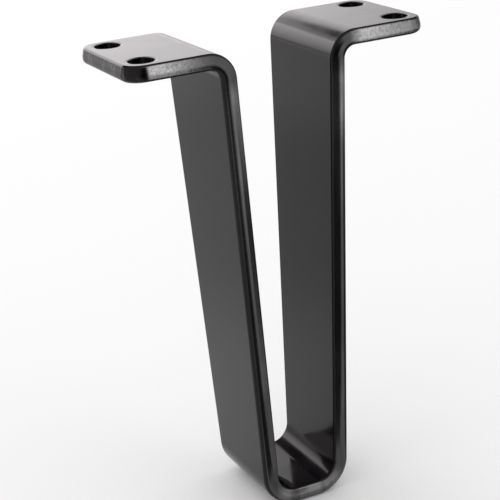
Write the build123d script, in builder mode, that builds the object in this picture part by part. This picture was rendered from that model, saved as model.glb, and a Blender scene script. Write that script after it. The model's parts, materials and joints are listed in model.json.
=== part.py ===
from build123d import *
import os

# V-shaped furniture leg: one steel blank, punched out, bent at four places and painted.
# Units are millimetres. The foot stands on Z = 0, the flanges bolt up against Z = leg_height,
# X runs from flange to flange and Y across the bar. The origin is the middle of the foot.

# Overall sizes
leg_height = 150.0
flange_span = 97.0
bar_thickness = 5.0

# Width of the blank, which narrows evenly from the flanges to the foot
flange_width = 41.0
foot_width = 34.0
flange_corner_radius = 6.0

# Clear distance between the legs, on the lines of their inner faces
mouth_gap = 31.0
foot_gap = 19.6

# Bends, on the hollow side of each fold
flange_bend_radius = 3.6
foot_bend_radius = 6.2

# Screw holes, two in each flange
hole_diameter = 8.0
hole_spacing = 26.0
hole_to_flange_end = 7.2

# Rims of the holes, punched from above: drawn down a little at the top and broken out below
hole_roll_width = 0.7
hole_roll_depth = 0.12
hole_breakout = 0.3

# Punched edge of the blank, from the outer face inwards: rolled over, then square, then curving over
# to where it tore and leans in, with a softened rim at the inner face
rolled_edge_radius = 1.7
square_edge_depth = 0.8
torn_curve_radius = 4.0
torn_edge_lean = 0.6
inner_rim_radius = 0.8

half_span = flange_span / 2
outer_flange_bend = flange_bend_radius + bar_thickness
hole_span = flange_span - 2 * hole_to_flange_end
torn_edge_depth = bar_thickness - rolled_edge_radius - square_edge_depth

with BuildPart() as leg_bar:
    # Side view: the inner face of the bar from flange to flange, thickened downwards and outwards
    with BuildSketch(Plane.XZ) as side_view:
        with BuildLine() as bent_strip:
            FilletPolyline(
                (-half_span, leg_height),
                (-mouth_gap / 2, leg_height),
                (-foot_gap / 2, bar_thickness),
                (foot_gap / 2, bar_thickness),
                (mouth_gap / 2, leg_height),
                (half_span, leg_height),
                radius=[outer_flange_bend, foot_bend_radius, foot_bend_radius, outer_flange_bend],
            )
            offset(amount=bar_thickness, side=Side.RIGHT)
        make_face()
    extrude(amount=flange_width / 2, both=True)

    # Front view: both sides of the blank lean in towards the foot
    with BuildSketch(Plane.YZ) as front_view:
        with BuildLine() as taper:
            Polyline(
                (-foot_width / 2, 0),
                (foot_width / 2, 0),
                (flange_width / 2, leg_height),
                (-flange_width / 2, leg_height),
                close=True,
            )
        make_face()
    extrude(amount=half_span, both=True, mode=Mode.INTERSECT)

    # Rounded corners at the free end of each flange
    flange_ends = leg_bar.faces().sort_by(Axis.X)
    corner_edges = (flange_ends[0].edges() + flange_ends[-1].edges()).filter_by(Axis.Y, reverse=True)
    fillet(corner_edges, radius=flange_corner_radius)

    # Punched edge. The rim of each face is one smooth line right round the bar, so its edge at the end
    # of one flange brings in the whole of it.
    def left_end_edges():
        """Edges across the free end of the left flange, from the lowest to the highest."""
        across_the_bar = leg_bar.edges().filter_by(Axis.Y)
        at_the_end = across_the_bar.filter_by(lambda edge: edge.center().X < flange_corner_radius - half_span)
        return at_the_end.sort_by(Axis.Z)

    left_flange_top = leg_bar.faces().filter_by(Axis.Z).group_by(Axis.Z)[-1].sort_by(Axis.X)[0]
    chamfer(left_end_edges()[-1], length=torn_edge_lean, length2=torn_edge_depth, reference=left_flange_top)
    fillet(left_end_edges()[-2], radius=torn_curve_radius)
    fillet(left_end_edges()[-1], radius=inner_rim_radius)
    fillet(left_end_edges()[0], radius=rolled_edge_radius)

    # Screw holes
    with Locations(Plane.XY.offset(leg_height)):
        with GridLocations(hole_span, hole_spacing, 2, 2):
            Hole(radius=hole_diameter / 2, depth=bar_thickness)
    hole_rims = leg_bar.edges(Select.LAST).filter_by(GeomType.CIRCLE).group_by(Axis.Z)
    chamfer(hole_rims[0], length=hole_breakout)
    for flange_top in leg_bar.faces().filter_by(Axis.Z).group_by(Axis.Z)[-1]:
        upper_rims = flange_top.edges().filter_by(lambda edge: edge.is_closed)
        chamfer(upper_rims, length=hole_roll_width, length2=hole_roll_depth, reference=flange_top)

leg_bar.part.label = "leg_bar"

os.makedirs("parts", exist_ok=True)
export_step(leg_bar.part, "parts/leg_bar.step")
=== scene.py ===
"""V-shaped furniture leg, bent from one steel bar and painted satin black, on a pale studio floor."""
import json
import math

import bmesh
import bpy
from bpy.props import FloatProperty, FloatVectorProperty, PointerProperty
from mathutils import Matrix, Vector


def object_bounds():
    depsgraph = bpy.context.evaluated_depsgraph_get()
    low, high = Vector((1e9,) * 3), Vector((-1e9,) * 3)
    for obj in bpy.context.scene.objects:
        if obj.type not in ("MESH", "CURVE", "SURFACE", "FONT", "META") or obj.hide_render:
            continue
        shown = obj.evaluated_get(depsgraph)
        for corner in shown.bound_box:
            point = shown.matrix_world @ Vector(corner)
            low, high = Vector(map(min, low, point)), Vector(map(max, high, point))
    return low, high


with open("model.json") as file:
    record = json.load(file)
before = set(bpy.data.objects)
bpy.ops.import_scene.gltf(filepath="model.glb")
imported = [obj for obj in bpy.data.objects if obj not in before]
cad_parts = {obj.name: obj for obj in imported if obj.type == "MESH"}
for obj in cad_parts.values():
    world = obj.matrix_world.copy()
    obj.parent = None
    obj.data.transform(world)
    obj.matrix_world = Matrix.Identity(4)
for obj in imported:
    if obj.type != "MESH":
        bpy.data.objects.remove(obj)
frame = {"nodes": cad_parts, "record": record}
CAD_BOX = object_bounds()

bl_info = {
    "name": "Bent Furniture Leg",
    "version": (1, 0, 0),
    "blender": (4, 5, 0),
    "location": "3D View > Sidebar > Furniture Leg",
    "description": "Paints a bent steel furniture leg and sets it on a small studio stage",
    "category": "Object",
}

LEG_NODE = "leg_bar"

# The drilled end of a flange starts one hole's width inside the holes' centres, in metres.
HOLES = next(mount for mount in frame["record"]["mounts"] if mount["kind"] == "bolt_pattern")["dims"]
DRILLED_FULL = HOLES["spacing_x_mm"] / 2000 - 2 * HOLES["hole_r_mm"] / 1000
DRILLED_BLEND = 0.002

# Zones of the bar: where each one starts and where it is full, in metres from the leg's origin.
# Outwards to either flange:
DRILLED_ZONE = (DRILLED_FULL - DRILLED_BLEND, DRILLED_FULL)
FLANGE_ZONE = (0.021, 0.027)
# From the left flange to the right one, where the painted highlight on the flange sides starts, fades and
# changes halves:
LEFT_HIGHLIGHT_CORNER_ZONE = (-0.0432, -0.0415)
LEFT_HIGHLIGHT_FADE_ZONE = (-0.040, -0.024)
RIGHT_HIGHLIGHT_HALF_ZONE = (-0.001, 0.001)
RIGHT_HIGHLIGHT_FADE_ZONE = (0.022, 0.046)
# Across the bar to either side, past the holes:
FLANGE_SIDE_ZONE = (0.0175, 0.0185)
# By height:
LEG_ZONE = (0.1425, 0.135)
# The upper legs' edges get a painted highlight here
UPPER_LEG_HIGHLIGHT_ZONE = (0.09, 0.13)
FOOT_ZONE = (0.009, 0.004)

# How far a surface has to turn to count as an edge, or as turned upwards for the painted reflection on the
# foot, as a part of its normal
EDGE_TURN = (0.8, 0.97)
UPWARD_REFLECTION_TURN = (0.0, 0.15)

# The middle part of each noise that is spread over its effect
WIDE_SPREAD = (0.2, 0.8)
DRIFT_SPREAD = (0.3, 0.7)
FOOT_SPREAD = (0.35, 0.65)
SCUFF_SPREAD = (0.5, 0.65)

# Least and most bare steel along the punched edges, where painted highlights and a painted reflection make
# it grow and fade, and where it turns dull
LEG_BARE = (0.177, 0.383)
FOOT_BARE = (0.36, 0.7)
FLANGE_BARE = (0.25, 0.75)
UPPER_LEG_HIGHLIGHT_GAIN = 2.4
UPTURNED_REFLECTION_GAIN = 1.7
LEFT_HIGHLIGHT_FADE_SHARE = 0.1
RIGHT_HIGHLIGHT_FADE_SHARE = 0.35
DULL_SHARE = 0.0625
BEND_SHARE = 0.25
BARE_ENOUGH = 0.3
BARE_METALLIC = 0.5
ROUGHNESS_DRIFT = 0.03

# Stretch of the noises along the leg
TEAR_STRETCH = (1.0, 1.0, 0.6)
BAND_STRETCH = (1.0, 1.0, 0.2)
STREAK_STRETCH = (1.0, 1.0, 0.15)

# The stage: size and depth of the floor's faint clouds, its finish, and the gap under a card on it
CLOUD_SIZE = 0.4
CLOUD_SHADE = 0.985
STAGE_ROUGHNESS = 0.9
CARD_LIFT = 0.001

# An even triangle: its height in radii, and half the angle at its tip
TRIANGLE_HEIGHT = 1.5
TRIANGLE_HALF_ANGLE = math.pi / 6

# The camera, and the point on the leg that lamps and upright cards face
AIM_POINT = Vector((0.0, 0.0, 0.08))
SENSOR_WIDTH = 36.0
CLIP_START = 0.01

# First input, second input and output of a Mix node, by the kind of data that it blends
MIX_SOCKETS = {"FLOAT": (2, 3, 0), "RGBA": (6, 7, 2)}


class PaintSettings(bpy.types.PropertyGroup):
    """Colour and grain of the paint on the bent bar"""

    paint_colour: FloatVectorProperty(
        name="Paint Colour", description="Colour of the paint on the broad faces", subtype="COLOR",
        default=(0.0066, 0.0051, 0.0066), min=0.0, max=1.0,
    )
    edge_colour: FloatVectorProperty(
        name="Edge Colour", description="Colour of the steel under the thin paint on the punched edges",
        subtype="COLOR", default=(0.24, 0.236, 0.238), min=0.0, max=1.0,
    )
    # The flange sides' colour is lightened to paint a highlight on them, as well as barer steel
    flange_edge_highlight_colour: FloatVectorProperty(
        name="Flange Edge Colour", description="Colour of the barer steel on the sides of the flanges",
        subtype="COLOR", default=(0.8, 0.785, 0.79), min=0.0, max=1.0,
    )
    scuff_colour: FloatVectorProperty(
        name="Scuff Colour", description="Colour of the scuffs in the paint at the flange ends",
        subtype="COLOR", default=(0.06, 0.057, 0.058), min=0.0, max=1.0,
    )
    roughness: FloatProperty(
        name="Roughness", description="Roughness of the paint on the broad faces", subtype="FACTOR",
        default=0.13, min=0.0, max=1.0,
    )
    edge_roughness: FloatProperty(
        name="Edge Roughness", description="Roughness of the paint on the punched edges",
        subtype="FACTOR", default=0.18, min=0.0, max=1.0,
    )
    specular_level: FloatProperty(
        name="Specular Level", description="Strength of the paint's reflections", subtype="FACTOR",
        default=0.165, min=0.0, max=1.0,
    )
    peel_size: FloatProperty(
        name="Peel Size", description="Size of the ripples in the sprayed paint", unit="LENGTH",
        default=0.0016, min=0.0002, max=0.01,
    )
    peel_depth: FloatProperty(
        name="Peel Depth", description="Depth of the ripples in the sprayed paint", unit="LENGTH",
        default=0.000004, min=0.0, max=0.0005,
    )
    tear_size: FloatProperty(
        name="Tear Size", description="Size of the torn grain on the punched edges", unit="LENGTH",
        default=0.0006, min=0.0002, max=0.01,
    )
    tear_depth: FloatProperty(
        name="Tear Depth", description="Depth of the torn grain on the punched edges", unit="LENGTH",
        default=0.000008, min=0.0, max=0.001,
    )
    band_size: FloatProperty(
        name="Band Size", description="Size of the lighter and darker stretches along the legs' edges",
        unit="LENGTH", default=0.004, min=0.0002, max=0.1,
    )
    drift_size: FloatProperty(
        name="Drift Size", description="Size of the glossier and duller stretches of the broad faces",
        unit="LENGTH", default=0.012, min=0.0002, max=0.1,
    )


class StageSettings(bpy.types.PropertyGroup):
    """Floor, light and camera around the leg"""

    floor_colour: FloatVectorProperty(
        name="Floor Colour", description="Colour of the studio floor", subtype="COLOR",
        default=(0.98, 0.98, 0.98), min=0.0, max=1.0,
    )
    floor_size: FloatProperty(
        name="Floor Size", description="Side of the square studio floor", unit="LENGTH",
        default=30.0, min=1.0, max=40.0,
    )
    flag_colour: FloatVectorProperty(
        name="Flag Colour", description="Colour of the dark cards that the paint mirrors", subtype="COLOR",
        default=(0.01, 0.01, 0.01), min=0.0, max=1.0,
    )
    edge_shade: FloatProperty(
        name="Edge Shade", description="Brightness left in the floor that the punched edges mirror",
        subtype="FACTOR", default=0.08, min=0.0, max=1.0,
    )
    face_shade: FloatProperty(
        name="Face Shade", description="Brightness left in the floor that the broad faces mirror",
        subtype="FACTOR", default=0.76, min=0.0, max=1.0,
    )
    dome_strength: FloatProperty(
        name="Dome Strength", description="Brightness of the white studio dome, where 1 is white",
        default=0.83, min=0.0, max=2.0,
    )
    lamp_colour: FloatVectorProperty(
        name="Lamp Colour", description="Colour of the softboxes behind the leg", subtype="COLOR",
        default=(1.0, 0.94, 0.96), min=0.0, max=1.0,
    )
    back_light_power: FloatProperty(
        name="Back Light Power", description="Power of the low softbox behind the leg", unit="POWER",
        default=18.0, min=0.0, max=200.0,
    )
    left_light_power: FloatProperty(
        name="Left Light Power", description="Power of the softbox behind the leg on the left",
        unit="POWER", default=11.8, min=0.0, max=200.0,
    )
    side_light_power: FloatProperty(
        name="Side Light Power", description="Power of the small softbox at the right of the camera",
        unit="POWER", default=0.12, min=0.0, max=200.0,
    )
    side_light_colour: FloatVectorProperty(
        name="Side Light Colour", description="Colour of the small softbox at the right of the camera",
        subtype="COLOR", default=(1.0, 1.0, 1.0), min=0.0, max=1.0,
    )
    view_azimuth: FloatProperty(
        name="View Azimuth", description="Direction of the camera round the leg, from the front",
        subtype="ANGLE", default=math.radians(-24.89),
    )
    view_elevation: FloatProperty(
        name="View Elevation", description="Height of the camera above the horizon", subtype="ANGLE",
        default=math.radians(19.88),
    )
    view_roll: FloatProperty(
        name="View Roll", description="Turn of the camera about its line of sight", subtype="ANGLE",
        default=math.radians(-4.41),
    )
    view_distance: FloatProperty(
        name="View Distance", description="Distance from the camera to the middle of the leg",
        unit="LENGTH", default=0.46812, min=0.1, max=10.0,
    )
    aim_right: FloatProperty(
        name="Aim Right", description="How far the camera stands to the right of the leg's middle",
        unit="LENGTH", default=-0.00617,
    )
    aim_up: FloatProperty(
        name="Aim Up", description="How far the camera stands above the leg's middle", unit="LENGTH",
        default=0.00508,
    )
    lens: FloatProperty(
        name="Lens", description="Focal length of the camera", unit="CAMERA",
        default=107.2, min=10.0, max=500.0,
    )


def add_node(tree, node_type, inputs=None, **settings):
    """Add a node, set its properties, and link or set its inputs."""
    node = tree.nodes.new(node_type)
    for name, value in settings.items():
        setattr(node, name, value)
    for key, value in (inputs or {}).items():
        socket = node.inputs[key]
        if isinstance(value, bpy.types.NodeSocket):
            tree.links.new(value, socket)
        else:
            socket.default_value = value
    return node


def add_math(tree, operation, first, second=0.0):
    """Add a Math node and return its result."""
    return add_node(tree, "ShaderNodeMath", {0: first, 1: second}, operation=operation).outputs[0]


def add_product(tree, first, *others):
    """Multiply values together."""
    result = first
    for other in others:
        result = add_math(tree, "MULTIPLY", result, other)
    return result


def add_ramp(tree, value, low, high, to_low=0.0, to_high=1.0):
    """Map a value smoothly from one range to another."""
    inputs = {"Value": value, "From Min": low, "From Max": high, "To Min": to_low, "To Max": to_high}
    node = add_node(tree, "ShaderNodeMapRange", inputs, interpolation_type="SMOOTHSTEP")
    return node.outputs["Result"]


def add_mix(tree, factor, first, second, data_type="FLOAT"):
    """Blend two values or colours."""
    first_input, second_input, result = MIX_SOCKETS[data_type]
    inputs = {0: factor, first_input: first, second_input: second}
    return add_node(tree, "ShaderNodeMix", inputs, data_type=data_type).outputs[result]


def add_noise(tree, coordinates, size, detail=3.0, roughness=0.55):
    """Add a noise whose grain has the given size in metres."""
    inputs = {"Vector": coordinates, "Scale": 1.0 / size, "Detail": detail, "Roughness": roughness}
    return add_node(tree, "ShaderNodeTexNoise", inputs).outputs["Fac"]


def add_stretch(tree, coordinates, factors):
    """Scale the coordinates along each axis."""
    return add_node(tree, "ShaderNodeMapping", {"Vector": coordinates, "Scale": factors}).outputs["Vector"]


def opaque(colour, share=1.0):
    """A colour, or a share of it, with the fourth value that a colour socket takes."""
    return (*(share * part for part in colour), 1.0)


def new_material(name):
    """Make an empty node material and return it with its tree."""
    material = bpy.data.materials.new(name)
    material.use_nodes = True
    material.node_tree.nodes.clear()
    return material, material.node_tree


def add_flange_highlight_fade(tree, along):
    """Bare steel with a painted highlight, which fades from the free end of the left flange and from the
    bend of the right one.
    """
    past_corner = add_ramp(tree, along, *LEFT_HIGHLIGHT_CORNER_ZONE)
    left = add_product(tree, past_corner, add_ramp(tree, along, *LEFT_HIGHLIGHT_FADE_ZONE, 1.0, LEFT_HIGHLIGHT_FADE_SHARE))
    right = add_ramp(tree, along, *RIGHT_HIGHLIGHT_FADE_ZONE, 1.0, RIGHT_HIGHLIGHT_FADE_SHARE)
    return add_mix(tree, add_ramp(tree, along, *RIGHT_HIGHLIGHT_HALF_ZONE), left, right)


def make_paint(settings):
    """Satin black paint, smooth on the broad faces, with steel showing through on the punched edges, and
    painted highlights on those edges.
    """
    material, tree = new_material("satin_black_paint")
    coordinates = add_node(tree, "ShaderNodeTexCoord").outputs["Object"]
    normal = add_node(tree, "ShaderNodeNewGeometry").outputs["Normal"]
    place = add_node(tree, "ShaderNodeSeparateXYZ", {"Vector": coordinates}).outputs
    facing = add_node(tree, "ShaderNodeSeparateXYZ", {"Vector": normal}).outputs

    # Zones along the bar
    outwards = add_math(tree, "ABSOLUTE", place["X"])
    sideways = add_math(tree, "ABSOLUTE", place["Y"])
    on_drilled_end = add_ramp(tree, outwards, *DRILLED_ZONE)
    on_flange = add_ramp(tree, outwards, *FLANGE_ZONE)
    on_flange_side = add_product(tree, on_flange, add_ramp(tree, sideways, *FLANGE_SIDE_ZONE))
    on_leg = add_ramp(tree, place["Z"], *LEG_ZONE)
    on_foot = add_ramp(tree, place["Z"], *FOOT_ZONE)

    # Punched edges, which face across the bar, or any level way round the end of a flange
    across = add_math(tree, "ABSOLUTE", facing["Y"])
    upright = add_math(tree, "ABSOLUTE", facing["Z"])
    level = add_math(tree, "SQRT", add_math(tree, "SUBTRACT", 1.0, add_product(tree, upright, upright)))
    punched = add_ramp(tree, add_mix(tree, on_drilled_end, across, level), *EDGE_TURN)
    worn = add_ramp(tree, across, *EDGE_TURN)
    end_on = add_ramp(tree, add_math(tree, "ABSOLUTE", facing["X"]), *EDGE_TURN)

    # Grain of the paint and of the torn steel
    torn_place = add_stretch(tree, coordinates, TEAR_STRETCH)
    streak_place = add_stretch(tree, coordinates, STREAK_STRETCH)
    tears = add_noise(tree, torn_place, settings.tear_size, detail=4.0, roughness=0.6)
    streaks = add_noise(tree, streak_place, 2 * settings.tear_size)
    bands = add_noise(tree, add_stretch(tree, coordinates, BAND_STRETCH), settings.band_size, detail=2.0)
    drift = add_noise(tree, streak_place, settings.drift_size, detail=2.0)
    peel = add_noise(tree, coordinates, settings.peel_size, detail=2.0)

    # Steel along the legs and the foot, with a painted highlight on the upper legs and a painted reflection
    # on the foot's upturned edges
    upper_highlight_gain = add_ramp(tree, place["Z"], *UPPER_LEG_HIGHLIGHT_ZONE, 1.0, UPPER_LEG_HIGHLIGHT_GAIN)
    leg_bare_and_highlight = add_product(tree, upper_highlight_gain, add_ramp(tree, bands, *WIDE_SPREAD, *LEG_BARE))
    # Painted reflection: the foot's edges that turn upwards are made barer and lighter
    upturned_reflection_gain = add_ramp(tree, facing["Z"], *UPWARD_REFLECTION_TURN, 1.0, UPTURNED_REFLECTION_GAIN)
    foot_bare_and_reflection = add_product(tree, upturned_reflection_gain, add_ramp(tree, bands, *FOOT_SPREAD, *FOOT_BARE))
    # Bare steel together with the painted highlight and the painted reflection
    bare = add_mix(tree, on_foot, leg_bare_and_highlight, foot_bare_and_reflection)
    dull_steel = opaque(settings.edge_colour, DULL_SHARE)
    leg_steel_and_highlight = add_mix(tree, bare, dull_steel, opaque(settings.edge_colour), "RGBA")

    # Steel along the flanges and their bends, lightened on the flange sides as a painted highlight
    torn_bare = add_ramp(tree, tears, *WIDE_SPREAD, *FLANGE_BARE)
    flange_bare_and_highlight = add_product(tree, on_flange_side, add_flange_highlight_fade(tree, place["X"]), torn_bare)
    bend_steel = opaque(settings.edge_colour, BEND_SHARE)
    flange_steel_and_highlight = add_mix(tree, flange_bare_and_highlight, bend_steel, opaque(settings.flange_edge_highlight_colour), "RGBA")
    # Half metallic where the flange sides carry the painted highlight, so that its light colour shows as
    # diffuse
    metallic = add_product(tree, worn, add_ramp(tree, flange_bare_and_highlight, 0.0, BARE_ENOUGH, 1.0, BARE_METALLIC))

    scuffs = add_product(tree, end_on, on_drilled_end, add_ramp(tree, streaks, *SCUFF_SPREAD))
    paint = add_mix(tree, scuffs, opaque(settings.paint_colour), opaque(settings.scuff_colour), "RGBA")
    # Steel of the legs and flanges, with their painted highlights and painted reflection
    steel = add_mix(tree, on_leg, flange_steel_and_highlight, leg_steel_and_highlight, "RGBA")
    colour = add_mix(tree, worn, paint, steel, "RGBA")

    smoothest = settings.roughness - ROUGHNESS_DRIFT
    roughest = settings.roughness + ROUGHNESS_DRIFT
    face_rough = add_ramp(tree, drift, *DRIFT_SPREAD, smoothest, roughest)
    rough = add_mix(tree, punched, face_rough, settings.edge_roughness)

    grainy = add_math(tree, "MAXIMUM", on_flange, on_foot)
    ripples = add_node(tree, "ShaderNodeBump", {
        "Height": peel, "Distance": settings.peel_depth, "Strength": 1.0,
    })
    relief = add_node(tree, "ShaderNodeBump", {
        "Height": add_product(tree, punched, grainy, tears), "Distance": settings.tear_depth,
        "Strength": 1.0, "Normal": ripples.outputs["Normal"],
    })
    shader = add_node(tree, "ShaderNodeBsdfPrincipled", {
        "Base Color": colour, "Metallic": metallic, "Roughness": rough,
        "Specular IOR Level": settings.specular_level, "Normal": relief.outputs["Normal"],
    })
    add_node(tree, "ShaderNodeOutputMaterial", {"Surface": shader.outputs["BSDF"]})
    return material


class FURNITURE_LEG_OT_paint_bar(bpy.types.Operator):
    """Paint the bent bar satin black, with torn grain on its punched edges"""

    bl_idname = "furniture_leg.paint_bar"
    bl_label = "Paint Bent Bar"
    bl_options = {"REGISTER", "UNDO"}

    def execute(self, context):
        bar = frame["nodes"][LEG_NODE]
        paint = make_paint(context.scene.leg_paint)
        for slot in bar.material_slots:
            slot.material = paint
        return {"FINISHED"}


def new_group(name, values=()):
    """Make a shader node group that turns two colours and some values into one colour."""
    group = bpy.data.node_groups.new(name, "ShaderNodeTree")
    for label in ("Colour", "Darker"):
        group.interface.new_socket(label, in_out="INPUT", socket_type="NodeSocketColor")
    for label in values:
        group.interface.new_socket(label, in_out="INPUT", socket_type="NodeSocketFloat")
    group.interface.new_socket("Colour", in_out="OUTPUT", socket_type="NodeSocketColor")
    start = group.nodes.new("NodeGroupInput")
    return group, start.outputs


def finish_group(group, colour):
    """Lead a colour out of a node group."""
    add_node(group, "NodeGroupOutput", {"Colour": colour})
    return group


def make_cloud_group():
    """A colour that clouds over faintly towards a darker one."""
    group, given = new_group("faint_cloud")
    coordinates = add_node(group, "ShaderNodeTexCoord").outputs["Object"]
    cloud = add_noise(group, coordinates, CLOUD_SIZE, detail=2.0)
    return finish_group(group, add_mix(group, cloud, given["Darker"], given["Colour"], "RGBA"))


def make_fade_group():
    """A floor colour that darkens and clears again with the distance from the leg."""
    group, given = new_group("floor_fade", ("Rise Start", "Rise End", "Fall Start", "Fall End"))
    coordinates = add_node(group, "ShaderNodeTexCoord").outputs["Object"]
    distance = add_node(group, "ShaderNodeVectorMath", {0: coordinates}, operation="LENGTH").outputs["Value"]
    rise = add_ramp(group, distance, given["Rise Start"], given["Rise End"])
    fall = add_ramp(group, distance, given["Fall Start"], given["Fall End"], 1.0, 0.0)
    depth = add_product(group, rise, fall)
    return finish_group(group, add_mix(group, depth, given["Colour"], given["Darker"], "RGBA"))


def make_stage_material(name, group, colour, shade, **limits):
    """A matt surface whose colour comes from a node group."""
    material, tree = new_material(name)
    inputs = {"Colour": opaque(colour), "Darker": opaque(colour, shade), **limits}
    tone = add_node(tree, "ShaderNodeGroup", inputs, node_tree=group).outputs["Colour"]
    shader = add_node(tree, "ShaderNodeBsdfPrincipled", {
        "Base Color": tone, "Roughness": STAGE_ROUGHNESS, "Specular IOR Level": 0.0,
    })
    add_node(tree, "ShaderNodeOutputMaterial", {"Surface": shader.outputs["BSDF"]})
    return material


def make_shade_material(name, group, colour, shade, rise, fall):
    """A floor shade that comes and goes between the given distances from the leg."""
    limits = {"Rise Start": rise[0], "Rise End": rise[1], "Fall Start": fall[0], "Fall End": fall[1]}
    return make_stage_material(name, group, colour, shade, **limits)


def direction(azimuth, elevation):
    """The way from the leg to something round it, by angles from the front and above the horizon."""
    reach = math.cos(elevation)
    return Vector((reach * math.sin(azimuth), -reach * math.cos(azimuth), math.sin(elevation)))


def facing_leg(azimuth, elevation, distance):
    """Place something round the leg, by angles in degrees, with its +Z turned to the leg."""
    away = direction(math.radians(azimuth), math.radians(elevation))
    rotation = (-away).to_track_quat("Z", "Y").to_matrix().to_4x4()
    return Matrix.Translation(AIM_POINT + away * distance) @ rotation


def lying_flat(azimuth, distance, height):
    """Place something level, by its angle in degrees, its distance and its height above the floor."""
    turn = Matrix.Rotation(math.radians(azimuth), 4, "Z")
    return turn @ Matrix.Translation((0.0, -distance, height))


def set_on_stage(context, name, sheet, material):
    """Turn a bmesh into a part of the stage."""
    mesh = bpy.data.meshes.new(name)
    sheet.to_mesh(mesh)
    sheet.free()
    mesh.materials.append(material)
    card = bpy.data.objects.new(name, mesh)
    context.scene.collection.objects.link(card)
    return card


def show_in_reflections_only(card):
    """Hide a card from the camera and keep it from shading the stage."""
    card.visible_camera = False
    card.visible_diffuse = False
    card.visible_shadow = False


def add_card(context, name, width, height, place, material):
    """Add a flat stage card of the given size."""
    sheet = bmesh.new()
    bmesh.ops.create_grid(sheet, x_segments=1, y_segments=1, size=0.5)
    bmesh.ops.scale(sheet, vec=(width, height, 1.0), verts=sheet.verts)
    bmesh.ops.transform(sheet, matrix=place, verts=sheet.verts)
    return set_on_stage(context, name, sheet, material)


def add_flag(context, name, width, height, place, material):
    """Add a card that shows only in reflections."""
    show_in_reflections_only(add_card(context, name, width, height, place, material))


def add_floor_wedge(context, name, gap, length, azimuth, half_angle, material):
    """Lay a triangle on the floor with its tip towards the leg, which shows only in reflections."""
    sheet = bmesh.new()
    radius = length / TRIANGLE_HEIGHT
    bmesh.ops.create_circle(sheet, cap_ends=True, segments=3, radius=radius)
    tip = max(sheet.verts, key=lambda vert: vert.co.length)
    spin = Matrix.Rotation(math.atan2(tip.co.x, tip.co.y), 4, "Z")
    widen = math.tan(math.radians(half_angle)) / math.tan(TRIANGLE_HALF_ANGLE)
    shape = Matrix.Diagonal((widen, 1.0, 1.0, 1.0)) @ spin
    place = lying_flat(azimuth, radius + gap, CARD_LIFT)
    bmesh.ops.transform(sheet, matrix=place @ shape, verts=sheet.verts)
    show_in_reflections_only(set_on_stage(context, name, sheet, material))


def hang_flags(context, settings, cloud):
    """Hang dark cards above and in front of the leg for the paint to mirror."""
    dark = make_stage_material("dark_flag", cloud, settings.flag_colour, CLOUD_SHADE)
    overhead = lying_flat(azimuth=165.0, distance=1.8, height=1.8)
    add_flag(context, "ceiling_flag", width=5.8, height=2.2, place=overhead, material=dark)
    in_front = facing_leg(azimuth=-15.0, elevation=0.0, distance=0.7)
    add_flag(context, "front_flag", width=0.71, height=0.7, place=in_front, material=dark)


def shade_floor(context, settings):
    """Darken the floor in the reflections of the punched edges and of the broad faces."""
    fade = make_fade_group()
    colour = settings.floor_colour
    front = make_shade_material(
        "front_shade", fade, colour, settings.edge_shade, rise=(0.028, 0.04), fall=(0.7, 0.9))
    right = make_shade_material(
        "right_shade", fade, colour, settings.edge_shade, rise=(0.03, 0.05), fall=(0.35, 0.5))
    back = make_shade_material(
        "floor_shade", fade, colour, settings.face_shade, rise=(0.08, 0.22), fall=(0.4, 0.62))
    add_floor_wedge(
        context, "floor_flag", gap=0.015, length=0.9, azimuth=-7.0, half_angle=31.0, material=front)
    add_floor_wedge(
        context, "right_flag", gap=0.01, length=0.5, azimuth=76.5, half_angle=35.0, material=right)
    behind = lying_flat(azimuth=205.0, distance=0.35, height=CARD_LIFT)
    add_flag(context, "back_shade", width=0.3, height=0.66, place=behind, material=back)


def add_softbox(context, name, power, colour, width, height, spread, place):
    """Add a soft area light that faces the leg."""
    light = bpy.data.lights.new(name, "AREA")
    light.shape = "RECTANGLE"
    light.size = width
    light.size_y = height
    light.energy = power
    light.color = colour
    light.spread = math.radians(spread)
    lamp = bpy.data.objects.new(name, light)
    lamp.matrix_world = place @ Matrix.Rotation(math.pi, 4, "X")
    lamp.visible_camera = False
    context.scene.collection.objects.link(lamp)
    return lamp


def add_lamps(context, settings):
    """Set two softboxes behind the leg, and a small one beside the camera that only reflections show."""
    behind = facing_leg(azimuth=182.0, elevation=20.0, distance=3.3)
    add_softbox(
        context, "back_softbox", settings.back_light_power, settings.lamp_colour,
        width=5.7, height=2.0, spread=76.0, place=behind)
    tilt = Matrix.Rotation(math.radians(39.1), 4, "X")
    behind_left = facing_leg(azimuth=208.0, elevation=10.9, distance=3.44) @ tilt
    add_softbox(
        context, "left_softbox", settings.left_light_power, settings.lamp_colour,
        width=1.46, height=2.09, spread=107.0, place=behind_left)
    beside_camera = facing_leg(azimuth=30.0, elevation=5.7, distance=0.45)
    side = add_softbox(
        context, "side_softbox", settings.side_light_power, settings.side_light_colour,
        width=0.27, height=0.25, spread=180.0, place=beside_camera)
    side.visible_diffuse = False


def add_dome(context, strength):
    """Light the stage from a plain white dome."""
    world = bpy.data.worlds.new("white_dome")
    world.use_nodes = True
    tree = world.node_tree
    tree.nodes.clear()
    white = {"Color": (1.0, 1.0, 1.0, 1.0), "Strength": strength}
    background = add_node(tree, "ShaderNodeBackground", white)
    add_node(tree, "ShaderNodeOutputWorld", {"Surface": background.outputs["Background"]})
    context.scene.world = world


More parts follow.
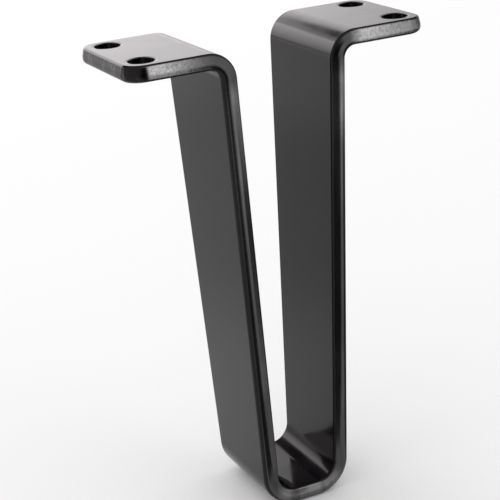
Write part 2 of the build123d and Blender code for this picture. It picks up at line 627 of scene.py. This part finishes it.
def add_camera(context, settings):
    """Stand the camera where the picture was taken from."""
    azimuth, roll = settings.view_azimuth, settings.view_roll
    back = direction(azimuth, settings.view_elevation)
    level_right = Vector((math.cos(azimuth), math.sin(azimuth), 0.0))
    level_up = back.cross(level_right)
    right = math.cos(roll) * level_right + math.sin(roll) * level_up
    up = back.cross(right)
    middle = (CAD_BOX[0] + CAD_BOX[1]) / 2
    place = middle + back * settings.view_distance + right * settings.aim_right + up * settings.aim_up
    data = bpy.data.cameras.new("picture_camera")
    data.lens = settings.lens
    data.sensor_width = SENSOR_WIDTH
    data.clip_start = CLIP_START
    camera = bpy.data.objects.new("picture_camera", data)
    camera.matrix_world = Matrix.Translation(place) @ Matrix((right, up, back)).transposed().to_4x4()
    context.scene.collection.objects.link(camera)
    context.scene.camera = camera


class FURNITURE_LEG_OT_build_stage(bpy.types.Operator):
    """Lay the pale floor, light it softly and place the camera"""

    bl_idname = "furniture_leg.build_stage"
    bl_label = "Build Stage"
    bl_options = {"REGISTER", "UNDO"}

    def execute(self, context):
        settings = context.scene.leg_stage
        cloud = make_cloud_group()
        floor_material = make_stage_material("pale_floor", cloud, settings.floor_colour, CLOUD_SHADE)
        side = settings.floor_size
        add_card(context, "floor", side, side, Matrix.Identity(4), floor_material)
        hang_flags(context, settings, cloud)
        shade_floor(context, settings)
        add_dome(context, settings.dome_strength)
        add_lamps(context, settings)
        add_camera(context, settings)
        context.scene.view_settings.view_transform = "Standard"
        return {"FINISHED"}


class FURNITURE_LEG_PT_sidebar(bpy.types.Panel):
    """Settings and steps of the furniture leg"""

    bl_idname = "FURNITURE_LEG_PT_sidebar"
    bl_label = "Furniture Leg"
    bl_space_type = "VIEW_3D"
    bl_region_type = "UI"
    bl_category = "Furniture Leg"

    def draw(self, context):
        for settings, operator in (
            (context.scene.leg_paint, FURNITURE_LEG_OT_paint_bar),
            (context.scene.leg_stage, FURNITURE_LEG_OT_build_stage),
        ):
            box = self.layout.box()
            for name in settings.__annotations__:
                box.prop(settings, name)
            box.operator(operator.bl_idname)


CLASSES = (
    PaintSettings,
    StageSettings,
    FURNITURE_LEG_OT_paint_bar,
    FURNITURE_LEG_OT_build_stage,
    FURNITURE_LEG_PT_sidebar,
)


def register():
    for cls in CLASSES:
        bpy.utils.register_class(cls)
    bpy.types.Scene.leg_paint = PointerProperty(type=PaintSettings)
    bpy.types.Scene.leg_stage = PointerProperty(type=StageSettings)


def unregister():
    del bpy.types.Scene.leg_stage
    del bpy.types.Scene.leg_paint
    for cls in reversed(CLASSES):
        bpy.utils.unregister_class(cls)


def main():
    """Register the add-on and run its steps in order."""
    register()
    bpy.ops.furniture_leg.paint_bar()
    bpy.ops.furniture_leg.build_stage()


if __name__ == "__main__":
    main()
